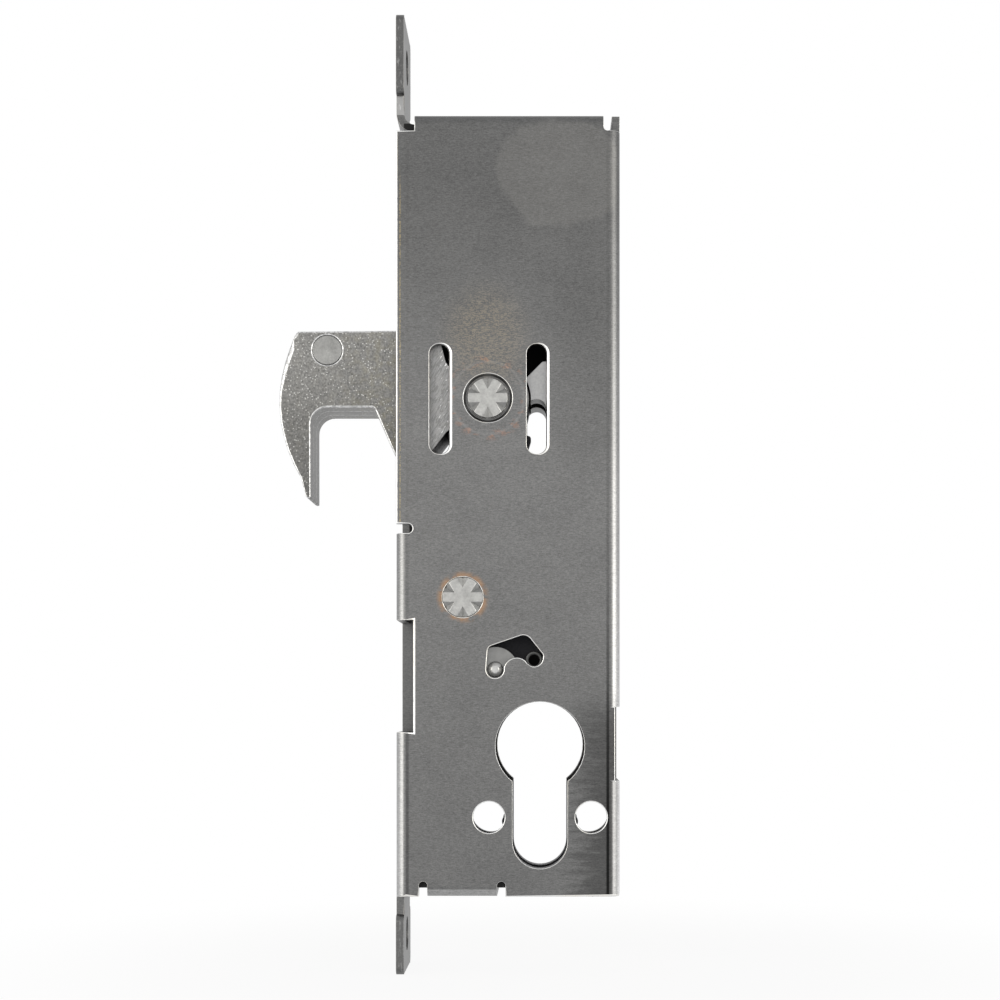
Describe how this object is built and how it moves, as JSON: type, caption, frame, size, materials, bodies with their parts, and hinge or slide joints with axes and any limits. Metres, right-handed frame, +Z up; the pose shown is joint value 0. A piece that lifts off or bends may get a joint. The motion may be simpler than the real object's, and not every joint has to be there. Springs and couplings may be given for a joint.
{
  "type": "mortise hook lock",
  "caption": "Mortise hook lock for a sliding door: folded steel case with screw ears, cylinder cut-out and a laminated hook bolt that swings up into the case.",
  "frame": {"origin": "axis of the profile cylinder, at the middle of the case's thickness", "axes": "+X from the door edge into the door, +Y through the case away from the face that the picture shows, +Z up along the case"},
  "size_m": [0.0688, 0.0206, 0.1937],
  "materials": {
    "case_steel": "galvanised sheet, fine level grain",
    "hook_steel": "zinc plated, speckled",
    "bright_steel": "bright turned steel",
    "dark_steel": "dark phosphated steel",
    "spring_steel": "bright spring wire"
  },
  "bodies": {
    "case": {"case_body": "case_steel", "case_frame": "case_steel", "hook_pivot_rivet": "bright_steel", "lever_pivot_rivet": "bright_steel", "hook_stop_front": "case_steel", "hook_stop_rear": "case_steel", "lever_spacer_front": "bright_steel", "lever_spacer_rear": "bright_steel", "hook_shim_front": "dark_steel", "hook_shim_rear": "dark_steel", "cylinder_cheek_front": "dark_steel", "cylinder_cheek_rear": "dark_steel", "spring_post": "bright_steel", "locking_spring": "spring_steel"},
    "hook": {"hook_plate_front": "hook_steel", "hook_plate_middle": "hook_steel", "hook_plate_rear": "hook_steel", "hook_rivet_outer": "bright_steel", "hook_rivet_inner": "bright_steel", "hook_tail_pin": "bright_steel", "hook_bush_front": "dark_steel", "hook_bush_rear": "dark_steel"},
    "drive_lever": {"drive_lever_front": "dark_steel", "drive_lever_rear": "dark_steel", "lever_bush": "bright_steel", "lever_stud": "dark_steel", "lever_rivet": "bright_steel"},
    "locking_pin": {"locking_pin": "bright_steel", "locking_pin_washers": "bright_steel", "locking_pin_rollers": "bright_steel"}
  },
  "joints": [
    {"name": "hook_swing", "type": "hinge", "parent": "case", "child": "hook", "pos_m": [-0.0105, 0, 0.0701], "axis": [0, 1, 0], "range_deg": [0, 93]},
    {"name": "drive_lever_swing", "type": "hinge", "parent": "case", "child": "drive_lever", "pos_m": [-0.01555, 0, 0.03], "axis": [0, 1, 0], "range_deg": [-23.1, 0]},
    {"name": "locking_pin_travel", "type": "hinge", "parent": "case", "child": "locking_pin", "pos_m": [-0.00466, 0, 0.01514], "axis": [0, 1, 0], "range_deg": [0, 137.3], "deforming": ["locking_spring"]}
  ],
  "couplings": [
    {"joint": "drive_lever_swing", "follows": "hook_swing", "ratio": -0.24829},
    {"joint": "locking_pin_travel", "follows": "hook_swing", "ratio": 1.4756}
  ]
}
